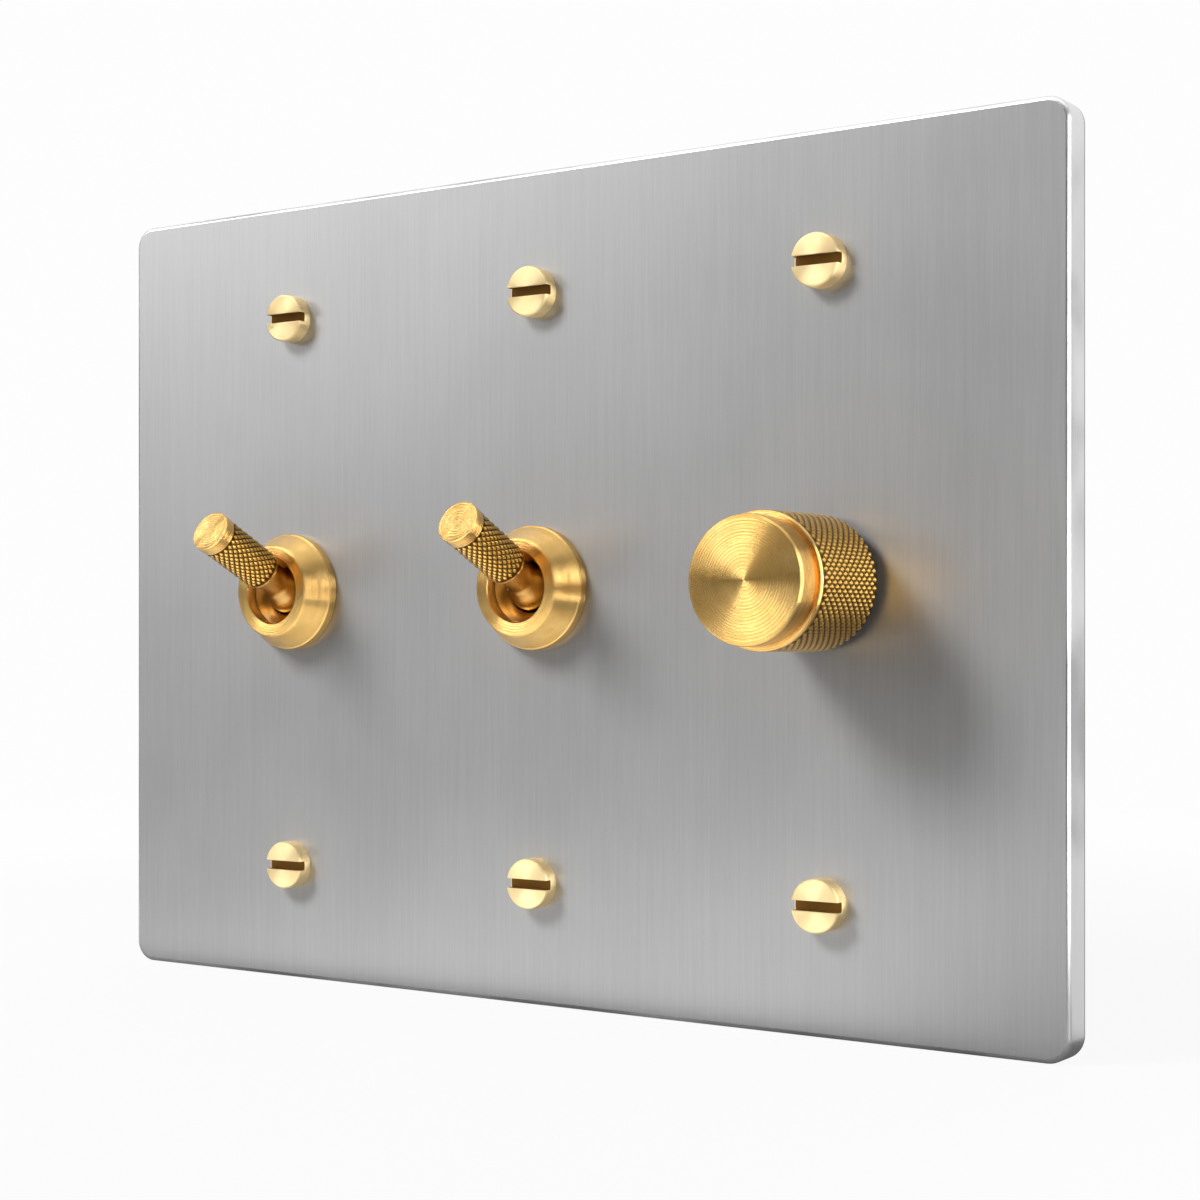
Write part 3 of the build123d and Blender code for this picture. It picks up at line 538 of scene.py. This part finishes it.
def turnedPiece(node, outline, matrix, steps=128, angle=20):
    bm = bmesh.new()
    loop = outlineLoop(bm, [(radius, 0, height) for radius, height in outline])
    bmesh.ops.spin(bm, geom=loop, cent=(0, 0, 0), axis=(0, 0, 1), angle=2 * math.pi,
                   steps=steps, use_merge=True)
    bmesh.ops.remove_doubles(bm, verts=bm.verts, dist=1e-5)
    bmesh.ops.recalc_face_normals(bm, faces=bm.faces)
    bmesh.ops.transform(bm, matrix=matrix, verts=bm.verts)
    return asPiece(bm, node, angle)


# bezel nuts: rim, bevel and flat ring, with each corner broken
bezelShape = [
    (6.05, 5.0), (8.67, 5.0), (8.75, 5.08), (8.75, 6.26), (8.70, 6.38), (8.55, 6.5),
    (6.98, 9.68), (6.90, 9.82), (6.80, 9.93), (6.65, 10.0), (5.20, 10.0), (5.06, 9.95),
    (4.98, 9.86), (4.95, 9.75), (4.95, 8.2), (6.05, 8.2),
]
for side in toggles:
    turnedPiece(f"bezel_nut_{side}", bezelShape, inGang(side))

# plate: brushed face, polished edge, plain back
plateShape = {"rimX": 78.6, "rimZ": 57.6, "front": 4.99, "toWall": 0.5}
plateFinishes = [paints["plate_steel"], plateEdge, plateBack]
bm = merged("face_plate", join=False)
for face in bm.faces:
    middle = face.calc_center_median() / mm
    onRim = abs(middle.x) > plateShape["rimX"] or abs(middle.z) > plateShape["rimZ"]
    if middle.y < -plateShape["front"]:
        finish = paints["plate_steel"]
    elif onRim and face.normal.y < plateShape["toWall"]:
        finish = plateEdge
    else:
        finish = plateBack
    face.material_index = plateFinishes.index(finish)
asPiece(bm, "face_plate", angle=35, paintList=plateFinishes)

# plate screws: softened heads from the solids, with a cut thread on the shanks
screwShape = {
    "edge": 0.07, "shank": 1.75, "slack": 0.15, "shankTop": -0.7, "core": 1.42,
    "threadTop": -0.6, "threadEnd": 19.0, "pitch": 0.7, "lead": 0.6, "steps": 20,
    "root": 1.37, "foot": 0.3, "flat": 0.05,
}
bm = merged("plate_screws")
soften(bm, screwShape["edge"])
rows = (-layout["screwRow"], layout["screwRow"])
axes = [(x * mm, z * mm) for x in layout["gangs"].values() for z in rows]
for x, z in axes:  # shanks turned down to the thread's core
    for vert in bm.verts:
        away = Vector((vert.co.x - x, vert.co.z - z))
        onShank = abs(away.length / mm - screwShape["shank"]) < screwShape["slack"]
        if onShank and vert.co.y > screwShape["shankTop"] * mm:
            away *= screwShape["core"] * mm / away.length
            vert.co.x, vert.co.z = x + away.x, z + away.y
pitch, steps = screwShape["pitch"], screwShape["steps"]
turns = int((screwShape["threadEnd"] - screwShape["threadTop"]) / pitch) - 1
start = screwShape["threadTop"] + screwShape["lead"] * pitch
ridge = [(screwShape["root"], start - screwShape["foot"]), (screwShape["shank"], start - screwShape["flat"]),
         (screwShape["shank"], start + screwShape["flat"]), (screwShape["root"], start + screwShape["foot"])]
helix = bmesh.new()
loop = outlineLoop(helix, [(radius * mm, level * mm, 0) for radius, level in ridge])
bmesh.ops.spin(helix, geom=loop, cent=(0, 0, 0), axis=(0, 1, 0), angle=2 * math.pi * turns,
               dvec=(0, pitch * mm / steps, 0), steps=steps * turns)
bmesh.ops.holes_fill(helix, edges=[e for e in helix.edges if e.is_boundary])
threadMesh = bpy.data.meshes.new("thread")
helix.to_mesh(threadMesh)
helix.free()
for x, z in axes:
    before = set(bm.verts)
    bm.from_mesh(threadMesh)
    bmesh.ops.translate(bm, vec=(x, 0, z), verts=[v for v in bm.verts if v not in before])
bpy.data.meshes.remove(threadMesh)
bmesh.ops.recalc_face_normals(bm, faces=bm.faces)
asPiece(bm, "plate_screws")
print("plate, bezels and screws built")

# pieces taken from the solids, some with their edges softened, in millimetres
softEdges = {
    "toggle_yoke": 0.12, "switch_housing": 0.25, "switch_base": 0.25, "switch_terminals": 0.08,
    "terminal_screws": 0.08, "dimmer_yoke": 0.12, "dimmer_tub": 0.35,
}
roundPieces = ("toggle_bush", "toggle_lever", "switch_rivets", "dimmer_rivets")
for node in nodes:
    family = node.replace("_left", "").replace("_middle", "")
    if family in softEdges:
        bm = merged(node)
        soften(bm, softEdges[family])
        asPiece(bm, node)
    elif family in roundPieces:
        asPiece(merged(node, join=False), node)

# push spring: taken from its solid, with a mesh of its own
spring = asPiece(merged("push_spring", join=False), "push_spring")
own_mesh(spring)
print("edges softened, spring fitted")


def grey(level):
    return (level, level, level)


# floor: fades into a white backdrop; in front, metal sees most of it before the plate's middle
backdropWhite = 0.985
floorLook = {  # a fade is given by the places where it starts and ends, and the levels there
    "size": 4, "tone": 0.14, "rough": 0.9, "glow": 0.75, "white": 1.22, "bounce": 3.8, "fade": (0.16, 0.42),
    "left": (-0.2, -0.02, 0.3, 0.75), "right": (0.02, 0.11, 1.0, 0.06), "close": (-0.018, -0.006, 1.0, 0.15),
    "behind": (0.0, 0.03), "behindShare": 0.8,
}
bm = bmesh.new()
bmesh.ops.create_grid(bm, x_segments=8, y_segments=8, size=floorLook["size"],
                      matrix=Matrix.Translation((0, 0, cadBox[0].z)))
floorMesh = bpy.data.meshes.new("floor")
bm.to_mesh(floorMesh)
bm.free()
floor = addObject("floor", floorMesh)
floorPaint = Paint("paleFloor", Base_Color=(*grey(floorLook["tone"]), 1), Roughness=floorLook["rough"])
floorMesh.materials.append(floorPaint.owner)
spot = floorPaint.place()
toRight, toBack = floorPaint.split(spot, "XY")
far = floorPaint.fit(floorPaint.vectorCalc("LENGTH", spot), *floorLook["fade"])
looked, mirrored, through = floorPaint.rays()
before = floorPaint.fit(toRight, *floorLook["left"]) * floorPaint.fit(toRight, *floorLook["right"])
before = before * floorPaint.fit(toBack, *floorLook["close"])  # the plate shades what lies close under it
behind = floorPaint.fit(toBack, *floorLook["behind"])
mirrored = mirrored * (before * (1 - behind) + floorLook["behindShare"] * behind)
near = floorPaint.mix(mirrored * (1 - behind), grey(floorLook["white"]), grey(floorLook["bounce"]))
glowing = floorPaint.node("ShaderNodeEmission", {}, {
    "Color": floorPaint.mix(far, near, grey(backdropWhite))})
share = looked + through + mirrored
glow = (floorLook["glow"] + (1 - floorLook["glow"]) * far) * share
floorMix = floorPaint.node("ShaderNodeMixShader", {}, {
    0: glow, 1: Val(floorPaint, floorPaint.shader.outputs[0]), 2: glowing})
floorPaint.plug(floorPaint.tree.nodes["Material Output"].inputs["Surface"], floorMix)

# room: dim in front, with soft cards that only mirrored rays see, and white behind
roomLook = {
    "dim": (0.05, 0.8, 0.06, 0.2), "low": (0.3, -0.2, 0, 0.1), "overhead": (0.6, 0.92, 0, 1.4),
    "side": (0.86, 0.97, 0, 2.6), "sideFoot": (-0.5, -0.2), "behind": (0.0, 0.25), "wall": 0.8,
    "high": {"heading": (-0.68, -0.63, 0.37), "spread": (0.925, 0.99, 0, 3.3)},
    "key": {"heading": (-0.46, -0.62, 0.635), "spread": (0.972, 0.988, 0, 8.0)},
}
world = bpy.data.worlds.new("studio")
bpy.context.scene.world = world
sky = Paint("studio", world)
heading = sky.node("ShaderNodeTexCoord", out="Generated")
toRight, toBack, toTop = sky.split(heading)
turn = sky.calc("ARCTAN2", toRight, 0.0 - toBack)
looked, mirrored, through = sky.rays()
dim = sky.fit(toTop, *roomLook["dim"])
high, key = (
    sky.fit(sky.vectorCalc("DOT_PRODUCT", heading, card["heading"]), *card["spread"])
    for card in (roomLook["high"], roomLook["key"]))
side = sky.fit(toRight, *roomLook["side"]) * sky.fit(toTop, *roomLook["sideFoot"])
low = sky.fit(turn, *roomLook["low"])
overhead = sky.fit(toTop, *roomLook["overhead"])
room = dim + (high + key + side + low + overhead) * mirrored
behind = sky.fit(toBack, *roomLook["behind"])
shown = looked + through + mirrored * behind
level = (room * (1 - behind) + roomLook["wall"] * behind) * (1 - shown) + backdropWhite * shown
sky.set(Color=sky.node("ShaderNodeVectorMath", {"operation": "SCALE"}, {0: (1, 1, 1), "Scale": level}))


def softbox(name, settings):
    data = bpy.data.lights.new(name, "AREA")
    data.shape = "RECTANGLE"
    data.size, data.size_y = settings["size"]
    data.energy = settings["power"]
    lamp = addObject(name, data)
    lamp.location = settings["place"]
    aim = Vector(settings["aim"]) - lamp.location
    lamp.rotation_euler = aim.to_track_quat("-Z", "Y").to_euler()
    lamp.visible_diffuse = settings["for"] == "matt"
    lamp.visible_glossy = settings["for"] == "gloss"


# metal shows the key as the soft card in the room, and the knurl a small lamp to its right
softbox("keyLight", {
    "for": "matt", "size": (0.21, 0.21), "power": 6.0,
    "place": (-0.322, -0.434, 0.4445), "aim": (0, 0, 0)})
softbox("knurlLight", {
    "for": "gloss", "size": (0.072, 0.12), "power": 0.17,
    "place": (0.135, -0.044, 0.012), "aim": (0, -0.044, 0.012)})

shot = {  # the camera fitted to the photograph, with its focal length and rise in pixels
    "frame": 1200, "focal": 2215.9, "rise": 38.6, "sensor": 36, "nearest": 0.01,
    "yaw": 0.6028, "place": (0.18503, -0.2579, -0.007165),
}
cameraData = bpy.data.cameras.new("camera")
cameraData.sensor_width = shot["sensor"]
cameraData.lens = shot["focal"] / shot["frame"] * shot["sensor"]
cameraData.shift_y = shot["rise"] / shot["frame"]
cameraData.clip_start = shot["nearest"]
camera = addObject("camera", cameraData)
camera.location = shot["place"]
camera.rotation_euler = (math.pi / 2, 0, shot["yaw"])
bpy.context.scene.camera = camera
bpy.context.scene.view_settings.view_transform = "Standard"
print("studio set")
